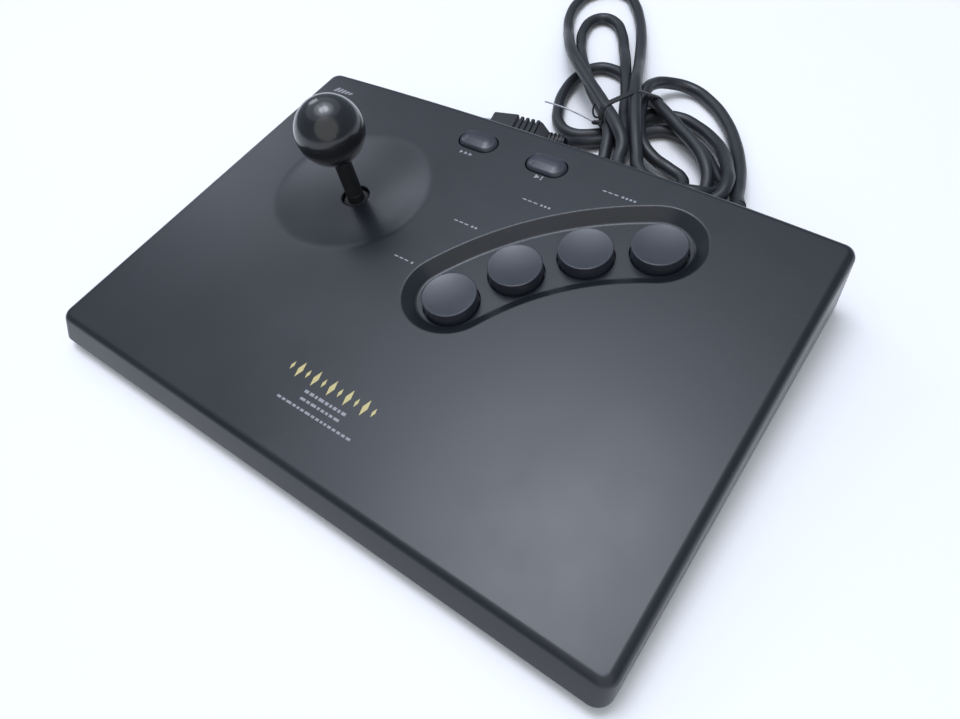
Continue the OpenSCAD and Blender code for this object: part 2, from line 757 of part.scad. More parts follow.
// D-shaped prism along the plug axis
module plug_d(inset, length) {
    rotate([90, 0, 90]) linear_extrude(length) polygon([
        [-8.5 + inset, 4.2 - inset], [-7.3 + inset, -4.2 + inset],
        [7.3 - inset, -4.2 + inset], [8.5 - inset, 4.2 - inset]]);
}

module plug_shell() {
    skin = 0.5;
    color(STEEL) at_plug() difference() {
        translate([34, 0, 0]) plug_d(0.05, shell_end - 34);
        translate([33, 0, 0]) plug_d(skin, shell_end - 31);
    }
}

module contact_places() {
    for (i = [0:4]) translate([0, (i - 2) * contact_pitch, contact_row]) children();
    for (i = [0:3]) translate([0, (i - 1.5) * contact_pitch, -contact_row]) children();
}

module plug_insert() {
    color(BLACK) at_plug() difference() {
        translate([34, 0, 0]) plug_d(0.6, 13.6);
        contact_places() translate([33, 0, 0]) rotate([0, 90, 0]) cylinder(r = 0.85, h = 20);
    }
}

module plug_contacts() {
    color("gold") at_plug() contact_places() translate([34.2, 0, 0]) rotate([0, 90, 0]) difference() {
        cylinder(r = 0.8, h = 12);
        translate([0, 0, 4]) cylinder(r = 0.5, h = 9);
    }
}

// Round bar from one point to another
module bar(p, q, r) {
    v = q - p;
    translate(p) rotate([0, acos(v[2] / norm(v)), atan2(v[1], v[0])]) cylinder(r = r, h = norm(v));
}

// Loop drawn tight round the strands, r from their centres
module around_strands(r) {
    hull() for (p = tie_strands) translate(p) circle(r, $fn = 24);
}

// Wire band round the waist of the cord bundle, with its twisted knot and a straight end
module twist_tie() {
    color(DARK) translate([tie_at[0], tie_at[1], 0]) rotate([0, 0, tie_turn]) {
        rotate([90, 0, 0]) translate([0, 0, -tie_w / 2]) linear_extrude(tie_w) difference() {
            around_strands(cord_d / 2 + tie_t);
            around_strands(cord_d / 2);
        }
        bar([-13.8, -1, 12], [-14.5, 5, 9], 1.3);
        bar([-14.4, 4, 9.4], [-29, 31, 14], 0.5);
    }
}

upper_shell();
base_plate();
rubber_feet();
case_screws();
button_board();
key_board();
board_screws();
button(0);  // button_a
button(1);  // button_b
button(2);  // button_c
button(3);  // button_d
button_dome(0);  // dome_a
button_dome(1);  // dome_b
button_dome(2);  // dome_c
button_dome(3);  // dome_d
oval_key(select_at);  // select_key
oval_key(start_at);  // start_key
key_dome(select_at);  // select_dome
key_dome(start_at);  // start_dome
lever_housing();
housing_screws();
centering_grommet();
gimbal_ring();
gimbal_hub();
lever_shaft();
ball_knob();
actuator_collar();
retaining_clip();
switch_plate();
switch_plate_screws();
switch(0);  // switch_right
switch(90);  // switch_rear
switch(180);  // switch_left
switch(270);  // switch_front
plunger(0);  // plunger_right
plunger(90);  // plunger_rear
plunger(180);  // plunger_left
plunger(270);  // plunger_front
switch_leaves();
ribbon_cables();
cord_tail();
cord_wires();
cord_header();
cord_clamp();
clamp_screws();
strain_relief();
cord_tube();
plug_boot();
plug_hood();
plug_shell();
plug_insert();
plug_contacts();
twist_tie();
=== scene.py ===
"""Arcade joystick panel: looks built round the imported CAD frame. Sizes are in millimetres."""

import math
import random

import bmesh
import bpy
from mathutils import Matrix, Vector
from mathutils.geometry import delaunay_2d_cdt

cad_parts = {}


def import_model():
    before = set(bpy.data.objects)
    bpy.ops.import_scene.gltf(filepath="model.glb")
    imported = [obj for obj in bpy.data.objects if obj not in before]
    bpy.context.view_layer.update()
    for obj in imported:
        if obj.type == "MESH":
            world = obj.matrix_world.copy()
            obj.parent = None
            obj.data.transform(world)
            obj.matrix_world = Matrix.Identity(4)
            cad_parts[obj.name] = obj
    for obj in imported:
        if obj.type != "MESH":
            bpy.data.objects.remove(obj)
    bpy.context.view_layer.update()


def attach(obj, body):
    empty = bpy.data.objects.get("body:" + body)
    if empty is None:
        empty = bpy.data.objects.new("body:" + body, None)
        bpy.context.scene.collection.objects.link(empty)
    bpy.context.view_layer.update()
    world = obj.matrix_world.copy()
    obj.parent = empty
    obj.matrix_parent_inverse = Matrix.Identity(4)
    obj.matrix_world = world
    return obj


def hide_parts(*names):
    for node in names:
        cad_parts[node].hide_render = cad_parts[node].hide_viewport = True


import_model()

MM = 0.001

# Case and panel, as in the design
CASE_W, CASE_D = 280.0, 198.0
TILT = math.radians(5.4)
PANEL_Z = 24.6
WALL = 2.6
CORNER_R, EDGE_R = 6.0, 4.0
REAR_BOW, FRONT_LEAN, REAR_LEAN = 4.0, 3.2, 0.0
SKIRT_Z = 4.5
RECESS = 4.6
BOSS = RECESS + WALL
DISH = (-68.2, 27.8)
DISH_R = 36.8
LEVER_HOLE_R = 6.7
BALL_R, BALL_Z = 15.5, 33.5
ARC = (124.3, -51.1)
ARC_R, ARC_START, ARC_STEP = 122.9, 156.4, 13.9
TROUGH_R, TROUGH_END = ARC_R + 1.4, 0.7
TROUGH_HALF, TROUGH_FLOOR = 21.0, 15.5
CAP_R, CAP_RISE, HOLE_R = 11.55, 1.0, 12.05
KEY_L, KEY_W, KEY_RISE, KEY_CLEAR = 20.2, 11.2, 2.6, 0.4
KEYS = {"select_key": (-32.5, 80.8), "start_key": (6.0, 80.6)}
CORD_D = 6.5
EXIT = (84.0, 119.0, 12.0)
CORD_WALL_Y = CASE_D / 2 - 1.5 + REAR_LEAN * (30.0 - EXIT[2]) / (30.0 - SKIRT_Z)
PLUG_AT, PLUG_TURN = (-14.0, 128.0, 7.5), math.radians(196.5)
BOOT_LEN, HOOD_END, HOOD_W, HOOD_H = 9.5, 42.0, 23.0, 14.8
TIE_AT, TIE_TURN = (1.8, 160.3), math.radians(64)
TIE_STRANDS = [(-10.3, 10.4), (-9.9, 17.6), (1.2, 10.5), (7.6, 18.3), (12.3, 11.6), (21.4, 9.3)]

BUTTON_ANGLES = [ARC_START - i * ARC_STEP for i in range(4)]


def world(x, y, z):
    """A point given in millimetres, in metres."""
    return Vector((x, y, z)) * MM


def panel(x, v, n):
    """A point of the sloping panel: right, up the slope, out of it."""
    y = v * math.cos(TILT) - n * math.sin(TILT)
    z = v * math.sin(TILT) + n * math.cos(TILT) + PANEL_Z
    return world(x, y, z)


def on_arc(r, degrees):
    a = math.radians(degrees)
    return (ARC[0] + r * math.cos(a), ARC[1] + r * math.sin(a))


# ---------------------------------------------------------------- camera and cord

def make_camera():
    azimuth, elevation, roll = (math.radians(a) for a in (42.805, 51.092, -8.772))
    back = Vector((math.sin(azimuth) * math.cos(elevation), -math.cos(azimuth) * math.cos(elevation),
                   math.sin(elevation)))
    right = Vector((0, 0, 1)).cross(back).normalized()
    up = back.cross(right)
    turned_right = right * math.cos(roll) + up * math.sin(roll)
    turned_up = up * math.cos(roll) - right * math.sin(roll)
    data = bpy.data.cameras.new("camera")
    data.sensor_width, data.lens = 36.0, 27.04
    data.clip_start, data.clip_end = 0.01, 20.0
    camera = bpy.data.objects.new("camera", data)
    bpy.context.collection.objects.link(camera)
    turn = Matrix((turned_right, turned_up, back)).transposed()
    camera.matrix_world = Matrix.Translation(world(157.65, -147.2, 235.37)) @ turn.to_4x4()
    bpy.context.scene.camera = camera


CORD_ROUTE = [
    (0.084, 0.119, 0.012), (0.08, 0.127, 0.0098), (0.0762, 0.1388, 0.0078), (0.0696, 0.1558, 0.005),
    (0.059, 0.1748, 0.0036), (0.0472, 0.1902, 0.0033), (0.0332, 0.2024, 0.0034), (0.0184, 0.2088, 0.0042),
    (0.0074, 0.204, 0.0072), (0.0032, 0.1932, 0.0115), (0.0038, 0.1816, 0.0137), (0.008, 0.1688, 0.0111),
    (0.014, 0.156, 0.0104), (0.0216, 0.1454, 0.0091), (0.0312, 0.14, 0.0064), (0.0406, 0.1386, 0.004),
    (0.0492, 0.135, 0.0033), (0.0516, 0.13, 0.0033), (0.051, 0.1256, 0.0033), (0.047, 0.1212, 0.0033),
    (0.0374, 0.1194, 0.0033), (0.027, 0.1198, 0.0033), (0.0198, 0.1242, 0.004), (0.0154, 0.133, 0.0062),
    (0.0104, 0.1462, 0.0104), (0.0014, 0.1632, 0.0105), (-0.0058, 0.178, 0.0105),
    (-0.0146, 0.1936, 0.0112), (-0.0238, 0.21, 0.0098), (-0.0346, 0.2284, 0.0051),
    (-0.0452, 0.2454, 0.0035), (-0.0564, 0.2572, 0.0033), (-0.0656, 0.2592, 0.0033),
    (-0.0706, 0.2538, 0.0033), (-0.0692, 0.2396, 0.0034), (-0.0608, 0.2226, 0.0048),
    (-0.0476, 0.2014, 0.01), (-0.0368, 0.1876, 0.011), (-0.025, 0.1742, 0.0101),
    (-0.0054, 0.1546, 0.0104), (0.0034, 0.1428, 0.0104), (0.0072, 0.1334, 0.0076),
    (0.0108, 0.1244, 0.0047), (0.0156, 0.1178, 0.0034), (0.0252, 0.1128, 0.0033),
    (0.0416, 0.1124, 0.0033), (0.055, 0.1126, 0.0033), (0.0614, 0.1182, 0.0033), (0.063, 0.1266, 0.0033),
    (0.0614, 0.1368, 0.0056), (0.0544, 0.147, 0.0087), (0.0446, 0.1556, 0.01), (0.0334, 0.163, 0.0106),
    (0.0222, 0.1704, 0.0116), (0.012, 0.1788, 0.0097), (-0.0008, 0.1902, 0.0033),
    (-0.0172, 0.2024, 0.0033), (-0.0306, 0.208, 0.0033), (-0.0396, 0.2058, 0.0033),
    (-0.0446, 0.1946, 0.0033), (-0.0442, 0.1782, 0.0033), (-0.0366, 0.1574, 0.0033),
    (-0.0288, 0.1466, 0.0033), (-0.02, 0.1426, 0.0033), (-0.0102, 0.1456, 0.0033),
    (0.0006, 0.157, 0.0033), (0.0078, 0.1688, 0.0033), (0.0156, 0.1782, 0.0033), (0.0252, 0.1816, 0.0033),
    (0.037, 0.1784, 0.0033), (0.0486, 0.1712, 0.004), (0.0598, 0.1584, 0.0068), (0.0682, 0.1426, 0.0109),
    (0.0734, 0.1292, 0.0137), (0.0732, 0.1198, 0.0122), (0.0642, 0.1122, 0.0104), (0.047, 0.1104, 0.0102),
    (0.0328, 0.1116, 0.0104), (0.024, 0.1164, 0.0104), (0.0196, 0.1232, 0.0115), (0.017, 0.1322, 0.0144),
    (0.0086, 0.1414, 0.0174), (-0.0052, 0.1538, 0.0176), (-0.0266, 0.1724, 0.0171),
    (-0.042, 0.1862, 0.0169), (-0.0546, 0.2004, 0.0147), (-0.0668, 0.2182, 0.0092),
    (-0.077, 0.2342, 0.0045), (-0.0868, 0.2518, 0.0033), (-0.0916, 0.2692, 0.0033),
    (-0.09, 0.2846, 0.0033), (-0.081, 0.2942, 0.0033), (-0.068, 0.2938, 0.0033),
    (-0.0566, 0.2832, 0.0033), (-0.0446, 0.267, 0.0035), (-0.0328, 0.2468, 0.0053),
    (-0.0174, 0.2154, 0.009), (-0.0078, 0.1944, 0.0146), (-0.0004, 0.1778, 0.0188),
    (0.0112, 0.1556, 0.0178), (0.019, 0.142, 0.0153), (0.0252, 0.132, 0.0124), (0.031, 0.1236, 0.0106),
    (0.04, 0.1192, 0.0104), (0.0516, 0.1182, 0.0107), (0.0626, 0.1208, 0.0108), (0.0684, 0.1264, 0.0082),
    (0.0702, 0.137, 0.0045), (0.0618, 0.1462, 0.0033), (0.0476, 0.1604, 0.0033), (0.0348, 0.167, 0.0033),
    (0.0224, 0.1672, 0.0033), (0.0102, 0.1544, 0.0033), (-0.0006, 0.145, 0.0033),
    (-0.0092, 0.1366, 0.0045), (-0.014, 0.128, 0.0075),
]


# ---------------------------------------------------------------- mesh helpers

def new_object(name, verts, faces, smooth_angle=40.0, face_up=False):
    mesh = bpy.data.meshes.new(name)
    mesh.from_pydata([tuple(v) for v in verts], [], faces)
    mesh.validate()
    bm = bmesh.new()
    bm.from_mesh(mesh)
    bmesh.ops.remove_doubles(bm, verts=bm.verts, dist=1e-6)
    bmesh.ops.recalc_face_normals(bm, faces=bm.faces)
    if face_up and sum(f.normal.z * f.calc_area() for f in bm.faces) < 0:
        bmesh.ops.reverse_faces(bm, faces=bm.faces)
    bm.to_mesh(mesh)
    bm.free()
    mesh.shade_smooth()
    mesh.set_sharp_from_angle(angle=math.radians(smooth_angle))
    obj = bpy.data.objects.new(name, mesh)
    bpy.context.collection.objects.link(obj)
    return obj


class Shape:
    """Collects rings of points and the faces between them."""

    def __init__(self):
        self.verts = []
        self.faces = []

    def ring(self, points):
        start = len(self.verts)
        self.verts.extend(points)
        return list(range(start, start + len(points)))

    def join(self, a, b):
        n = len(a)
        for i in range(n):
            j = (i + 1) % n
            self.faces.append((a[i], a[j], b[j], b[i]))

    def loft(self, rings):
        made = [self.ring(r) for r in rings]
        for a, b in zip(made, made[1:]):
            self.join(a, b)
        return made

    def cap(self, ring):
        self.faces.append(tuple(ring))

    def fan(self, ring, centre):
        tip = len(self.verts)
        self.verts.append(centre)
        for i in range(len(ring)):
            self.faces.append((ring[i], ring[(i + 1) % len(ring)], tip))

    def object(self, name, smooth_angle=40.0, face_up=False):
        return new_object(name, self.verts, self.faces, smooth_angle, face_up)


def circle(centre, r, n):
    return [(centre[0] + r * math.cos(2 * math.pi * i / n), centre[1] + r * math.sin(2 * math.pi * i / n))
            for i in range(n)]


def fillet(r, steps, start=0.0, end=90.0):
    """Pairs (inset, drop) of a round edge that starts level and turns down."""
    out = []
    for i in range(steps + 1):
        a = math.radians(start + (end - start) * i / steps)
        out.append((r * (1 - math.sin(a)), r * (1 - math.cos(a))))
    return out


def lathe(name, profile, place, n=96, smooth_angle=40.0):
    """Turns a profile of (radius, height) pairs about an axis; place maps (x, y, z) to a world point."""
    shape = Shape()
    closed_start, closed_end = profile[0][0] < 1e-6, profile[-1][0] < 1e-6
    rings = profile[1 if closed_start else 0:len(profile) - (1 if closed_end else 0)]
    made = shape.loft([[place(x, y, z) for x, y in circle((0, 0), r, n)] for r, z in rings])
    if closed_start:
        shape.fan(made[0], place(0, 0, profile[0][1]))
    if closed_end:
        shape.fan(made[-1], place(0, 0, profile[-1][1]))
    if not closed_start and not closed_end:
        shape.join(made[-1], made[0])
    return shape.object(name, smooth_angle)


def stadium(length, width, n=20):
    """Outline of an oval with round ends, anticlockwise."""
    r, half = width / 2, (length - width) / 2
    right = [(half + r * math.cos(a), r * math.sin(a))
             for a in (math.pi * (i / n - 0.5) for i in range(n + 1))]
    left = [(-x, -y) for x, y in right]
    return right + left


def add_solidify(obj, thickness):
    mod = obj.modifiers.new("thickness", "SOLIDIFY")
    mod.thickness = thickness * MM
    mod.offset = -1
    mod.use_even_offset = True


def add_weighted_normals(obj):
    mod = obj.modifiers.new("normals", "WEIGHTED_NORMAL")
    mod.keep_sharp = True
    mod.weight = 90


def keep(obj, body, material, slot_name, *nodes):
    """Gives a piece its material and the body it rides on, and hides the CAD nodes it stands for."""
    obj.data.materials.clear()
    obj.data.materials.append(material)
    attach(obj, body)
    if nodes:
        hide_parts(*nodes)
    return obj


# ---------------------------------------------------------------- materials

class Nodes:
    """A principled material with short calls for the textures that drive it."""

    def __init__(self, name, color, roughness, metallic=0.0, **inputs):
        self.material = bpy.data.materials.new(name)
        self.material.use_nodes = True
        self.tree = self.material.node_tree
        self.shader = self.tree.nodes["Principled BSDF"]
        self.set("Base Color", (*color, 1.0))
        self.set("Roughness", roughness)
        self.set("Metallic", metallic)
        for key, value in inputs.items():
            self.set(key.replace("_", " "), value)
        self.place = self.add("ShaderNodeTexCoord").outputs["Object"]
        self.last_bump = None

    def set(self, key, value):
        self.shader.inputs[key].default_value = value

    def add(self, kind, **values):
        node = self.tree.nodes.new(kind)
        for key, value in values.items():
            setattr(node, key, value)
        return node

    def link(self, out, into):
        self.tree.links.new(out, into)

    def stretched(self, scale):
        mapping = self.add("ShaderNodeMapping")
        mapping.inputs["Scale"].default_value = scale
        self.link(self.place, mapping.inputs["Vector"])
        return mapping.outputs["Vector"]

    def noise(self, scale, detail=2.0, roughness=0.5, place=None):
        node = self.add("ShaderNodeTexNoise")
        node.inputs["Scale"].default_value = scale
        node.inputs["Detail"].default_value = detail
        node.inputs["Roughness"].default_value = roughness
        self.link(place or self.place, node.inputs["Vector"])
        return node.outputs["Fac"]

    def ramp(self, fac, stops):
        node = self.add("ShaderNodeValToRGB")
        elements = node.color_ramp.elements
        while len(elements) < len(stops):
            elements.new(0.5)
        for element, (at, value) in zip(elements, stops):
            element.position = at
            shade = value if isinstance(value, tuple) else (value, value, value)
            element.color = (*shade, 1.0)
        self.link(fac, node.inputs["Fac"])
        return node.outputs["Color"]

    def mix(self, fac, a, b, blend="MIX"):
        node = self.add("ShaderNodeMix", data_type="RGBA", blend_type=blend)
        for value, key in ((fac, 0), (a, 6), (b, 7)):
            if isinstance(value, (int, float)):
                node.inputs[key].default_value = value
            elif isinstance(value, tuple):
                node.inputs[key].default_value = (*value, 1.0)
            else:
                self.link(value, node.inputs[key])
        return node.outputs[2]

    def math(self, operation, a, b):
        node = self.add("ShaderNodeMath", operation=operation)
        for i, value in enumerate((a, b)):
            if isinstance(value, (int, float)):
                node.inputs[i].default_value = value
            else:
                self.link(value, node.inputs[i])
        return node.outputs[0]

    def color_from(self, out):
        self.link(out, self.shader.inputs["Base Color"])

    def roughness_from(self, out):
        self.link(out, self.shader.inputs["Roughness"])

    def bump(self, height, strength, distance_mm):
        node = self.add("ShaderNodeBump")
        node.inputs["Strength"].default_value = strength
        node.inputs["Distance"].default_value = distance_mm * MM
        self.link(height, node.inputs["Height"])
        if self.last_bump is not None:
            self.link(self.last_bump, node.inputs["Normal"])
        self.last_bump = node.outputs["Normal"]
        self.link(self.last_bump, self.shader.inputs["Normal"])


def scratch_mask(n, turn, scale, low, high):
    """Thin, sparse, straight marks that run one way."""
    mapping = n.add("ShaderNodeMapping")
    mapping.inputs["Rotation"].default_value = (0.0, 0.0, math.radians(turn))
    mapping.inputs["Scale"].default_value = (scale * 0.05, scale, scale)
    n.link(n.place, mapping.inputs["Vector"])
    return n.ramp(n.noise(1.0, 3.0, 0.6, mapping.outputs["Vector"]), [(low, 0.0), (high, 1.0)])


def moulded_plastic(name, color, roughness, grain=1500.0, grain_height=0.02, dust=0.25, worn=0.06, **inputs):
    """ABS moulding: fine spark-eroded grain, uneven sheen, a little dust and a few faint scratches."""
    n = Nodes(name, color, roughness, **inputs)
    cloud = n.noise(18.0, 4.0, 0.6)
    grain_out = n.noise(grain, 2.0, 0.6)
    specks = n.ramp(n.noise(420.0, 1.0, 0.4), [(0.80, 0.0), (0.83, 1.0)])
    scratches = scratch_mask(n, 38.0, 260.0, 0.74, 0.80)
    dusty = tuple(c + dust * 0.35 for c in color)
    low, high = tuple(c * 0.86 for c in color), tuple(c * 1.14 for c in color)
    tone = n.mix(n.ramp(cloud, [(0.3, 0.0), (0.7, 1.0)]), low, high)
    tone = n.mix(n.math("MULTIPLY", specks, dust), tone, dusty)
    tone = n.mix(n.math("MULTIPLY", scratches, worn), tone, (0.35, 0.36, 0.38))
    n.color_from(tone)
    base = n.ramp(cloud, [(0.25, roughness - 0.05), (0.75, roughness + 0.05)])
    n.roughness_from(n.mix(n.math("MULTIPLY", scratches, 0.5), base, (0.3, 0.3, 0.3)))
    n.bump(grain_out, 0.55, grain_height)
    return n.material


def glossy_plastic(name, color, roughness):
    n = Nodes(name, color, roughness, Coat_Weight=0.5, Coat_Roughness=0.13)
    smear = n.noise(90.0, 4.0, 0.65)
    fine = scratch_mask(n, -25.0, 900.0, 0.66, 0.74)
    n.color_from(n.mix(n.ramp(smear, [(0.35, 0.0), (0.75, 1.0)]), color, tuple(c * 1.35 for c in color)))
    base = n.ramp(smear, [(0.3, roughness - 0.03), (0.7, roughness + 0.06)])
    n.roughness_from(n.mix(n.math("MULTIPLY", fine, 0.5), base, (0.4, 0.4, 0.4)))
    n.bump(n.noise(160.0, 2.0, 0.5), 0.08, 0.02)
    return n.material


def rubber_like(name, color, roughness, scale=700.0, height=0.03):
    n = Nodes(name, color, roughness)
    dirt = n.noise(45.0, 5.0, 0.65)
    dirty = tuple(c * 1.5 + 0.006 for c in color)
    n.color_from(n.mix(n.ramp(dirt, [(0.35, 0.0), (0.8, 1.0)]), color, dirty))
    n.roughness_from(n.ramp(dirt, [(0.3, roughness - 0.06), (0.7, roughness + 0.06)]))
    n.bump(n.noise(scale, 3.0, 0.6), 0.4, height)
    return n.material


def metal(name, color, roughness, stretch=(1.0, 1.0, 0.06)):
    n = Nodes(name, color, roughness, metallic=1.0)
    grain = n.noise(1800.0, 3.0, 0.6, n.stretched(stretch))
    stain = n.noise(120.0, 4.0, 0.6)
    n.color_from(n.mix(n.ramp(stain, [(0.4, 0.0), (0.75, 1.0)]), color, tuple(c * 0.82 for c in color)))
    n.roughness_from(n.ramp(grain, [(0.3, roughness - 0.06), (0.7, roughness + 0.08)]))
    n.bump(grain, 0.15, 0.01)
    return n.material


def circuit_board(name):
    n = Nodes(name, (0.02, 0.13, 0.05), 0.4, Coat_Weight=0.3)
    tracks = n.add("ShaderNodeTexBrick")
    tracks.inputs["Scale"].default_value = 220.0
    tracks.inputs["Mortar Size"].default_value = 0.09
    tracks.inputs["Color1"].default_value = (0.02, 0.12, 0.05, 1.0)
    tracks.inputs["Color2"].default_value = (0.025, 0.15, 0.06, 1.0)
    tracks.inputs["Mortar"].default_value = (0.05, 0.26, 0.11, 1.0)
    n.link(n.place, tracks.inputs["Vector"])
    cloud = n.ramp(n.noise(60.0), [(0.4, 0.0), (0.7, 0.5)])
    n.color_from(n.mix(cloud, tracks.outputs["Color"], (0.03, 0.18, 0.07)))
    n.bump(tracks.outputs["Fac"], 0.3, 0.03)
    return n.material


def printed_ink(name, color, cover):
    """Screen-printed ink, slightly thin and speckled."""
    n = Nodes(name, color, 0.55)
    thin = n.ramp(n.noise(1500.0, 3.0, 0.6), [(cover, 0.0), (cover + 0.2, 1.0)])
    n.color_from(n.mix(thin, tuple(c * 0.72 for c in color), color))
    n.roughness_from(n.ramp(n.noise(900.0), [(0.3, 0.45), (0.7, 0.62)]))
    n.bump(n.noise(1500.0), 0.3, 0.01)
    return n.material


def make_materials():
    black = (0.013, 0.0155, 0.02)
    return {
        "case": moulded_plastic("case_abs", black, 0.32),
        "base": moulded_plastic("base_abs", (0.02, 0.021, 0.023), 0.55, grain=900.0, grain_height=0.03),
        "button": moulded_plastic("button_abs", (0.034, 0.039, 0.05), 0.28, 2200.0, 0.012, 0.1),
        "key": moulded_plastic("key_abs", (0.034, 0.038, 0.05), 0.3, 2200.0, 0.01, 0.1),
        "ball": glossy_plastic("ball_gloss", (0.012, 0.0125, 0.014), 0.2),
        "shaft": rubber_like("shaft_black", (0.012, 0.012, 0.013), 0.42, 1200.0, 0.01),
        "rubber": rubber_like("rubber_black", (0.018, 0.018, 0.019), 0.7),
        "dome": rubber_like("dome_silicone", (0.32, 0.33, 0.34), 0.45),
        "cord": rubber_like("cord_pvc", (0.014, 0.0155, 0.019), 0.42, 1500.0, 0.012),
        "plug": moulded_plastic("plug_pvc", (0.024, 0.025, 0.028), 0.5, grain=1300.0, grain_height=0.015),
        "inner": moulded_plastic("inner_nylon", (0.05, 0.05, 0.055), 0.5),
        "insert": moulded_plastic("insert_black", (0.012, 0.012, 0.013), 0.35),
        "steel": metal("zinc_steel", (0.62, 0.63, 0.65), 0.3),
        "nickel": metal("nickel_shell", (0.72, 0.71, 0.69), 0.22),
        "gold": metal("contact_gold", (0.83, 0.6, 0.25), 0.25),
        "board": circuit_board("board_green"),
        "ribbon": moulded_plastic("ribbon_pvc", (0.3, 0.3, 0.32), 0.5, grain=600.0),
        "wire": moulded_plastic("wire_pvc", (0.4, 0.03, 0.025), 0.45),
        "header": moulded_plastic("header_nylon", (0.66, 0.62, 0.5), 0.45),
        "tie": rubber_like("tie_plastic", (0.014, 0.014, 0.015), 0.35, 900.0, 0.02),
        "tie_wire": metal("tie_wire", (0.42, 0.43, 0.45), 0.4),
        "ink": printed_ink("pale_ink", (0.3, 0.31, 0.33), 0.25),
        "gold_ink": printed_ink("gold_ink", (0.58, 0.5, 0.22), 0.25),
    }


NODE_MATERIALS = {
    "base_plate": "base", "rubber_feet": "rubber", "case_screws": "steel", "button_board": "board",
    "key_board": "board", "board_screws": "steel", "lever_housing": "inner", "housing_screws": "steel",
    "centering_grommet": "rubber", "gimbal_ring": "inner", "gimbal_hub": "steel", "actuator_collar": "inner",
    "retaining_clip": "steel", "switch_plate": "board", "switch_plate_screws": "steel",
    "switch_leaves": "steel",
    "ribbon_cables": "ribbon", "cord_tail": "cord", "cord_wires": "wire", "cord_header": "header",
    "cord_clamp": "inner", "clamp_screws": "steel", "plug_shell": "nickel", "plug_insert": "insert",
    "plug_contacts": "gold", "select_dome": "dome", "start_dome": "dome",
    "switch_left": "inner", "switch_right": "inner", "switch_front": "inner", "switch_rear": "inner",
    "plunger_left": "steel", "plunger_right": "steel", "plunger_front": "steel", "plunger_rear": "steel",
    "dome_a": "dome", "dome_b": "dome", "dome_c": "dome", "dome_d": "dome",
}


def dress_nodes(materials):
    for node, name in NODE_MATERIALS.items():
        obj = bpy.data.objects[node]
        obj.data.materials.clear()
        obj.data.materials.append(materials[name])


# ---------------------------------------------------------------- case

def rear_y(x):
    return CASE_D / 2 - REAR_BOW * (x / (CASE_W / 2)) ** 2


def case_outline(front_y, rear_shift, inset):
    """Plan of the case, anticlockwise from the front left, drawn in by the inset."""
    r = CORNER_R - inset
    half = CASE_W / 2 - CORNER_R
    left, right, front = -half, half, front_y + CORNER_R
    rear = rear_y(half) + rear_shift - CORNER_R
    n_front, n_side, n_rear, n_corner = 56, 36, 56, 10
    points = []

    def corner(cx, cy, start):
        for i in range(1, n_corner):
            a = math.radians(start + 90 * i / n_corner)
            points.append((cx + r * math.cos(a), cy + r * math.sin(a)))

    for i in range(n_front + 1):
        points.append((left + (right - left) * i / n_front, front - r))
    corner(right, front, -90)
    for i in range(n_side + 1):
        points.append((right + r, front + (rear - front) * i / n_side))
    corner(right, rear, 0)
    for i in range(n_rear + 1):
        x = right + (left - right) * i / n_rear
        points.append((x, rear_y(x) + rear_shift - inset))
    corner(left, rear, 90)
    for i in range(n_side + 1):
        points.append((left - r, rear + (front - rear) * i / n_side))
    corner(left, front, 180)
    return points


def trough_outline(half):
    """Outline of the trough at one level, anticlockwise: an arc with round ends."""
    a0, a1 = BUTTON_ANGLES[0] - TROUGH_END, BUTTON_ANGLES[3] + TROUGH_END
    n, m = 80, 28
    points = [on_arc(TROUGH_R + half, a1 + (a0 - a1) * i / n) for i in range(n + 1)]
    for end, turn in ((a0, 0.0), (a1, 180.0)):
        if end == a1:
            points += [on_arc(TROUGH_R - half, a0 + (a1 - a0) * i / n) for i in range(n + 1)]
        cx, cy = on_arc(TROUGH_R, end)
        for i in range(1, m):
            a = math.radians(end + turn + 180 * i / m)
            points.append((cx + half * math.cos(a), cy + half * math.sin(a)))
    return points


def trough_profile():
    """(half width, height) from the rounded lip down the slope and through the cove to the floor."""
    run = TROUGH_HALF - TROUGH_FLOOR
    slope = math.atan2(RECESS, run)
    lip_r, cove_r = 1.5, 2.6
    lip_t, cove_t = lip_r * math.tan(slope / 2), cove_r * math.tan(slope / 2)
    out = []
    for i in range(9):
        a = slope * i / 8
        out.append((TROUGH_HALF + lip_t - lip_r * math.sin(a), -lip_r * (1 - math.cos(a))))
    for i in range(9):
        a = slope * (1 - i / 8)
        out.append((TROUGH_FLOOR - cove_t + cove_r * math.sin(a), -RECESS + cove_r * (1 - math.cos(a))))
    return out


def dish_profile():
    """(radius, height) from outside the soft rim down the bowl, over the hole's edge and down its wall."""
    bowl_r = (DISH_R ** 2 + RECESS ** 2) / (2 * RECESS)
    soft = 0.22
    radii = [DISH_R + 3.0 - 0.75 * i for i in range(9)] + [DISH_R - 4 - 2.1 * i for i in range(13)]
    out = []
    for r in radii:
        raw = -RECESS + bowl_r - math.sqrt(bowl_r ** 2 - r ** 2)
        fade = min(1.0, max(0.0, (DISH_R + 3.0 - r) / 3.0))
        out.append((r, (raw - math.sqrt(raw * raw + 4 * soft * soft)) / 2 * fade))
    edge = 0.6
    floor = -RECESS + bowl_r - math.sqrt(bowl_r ** 2 - (LEVER_HOLE_R + edge) ** 2)
    out += [(LEVER_HOLE_R + inset, floor - drop) for inset, drop in fillet(edge, 5)]
    out.append((LEVER_HOLE_R, -BOSS))
    return out


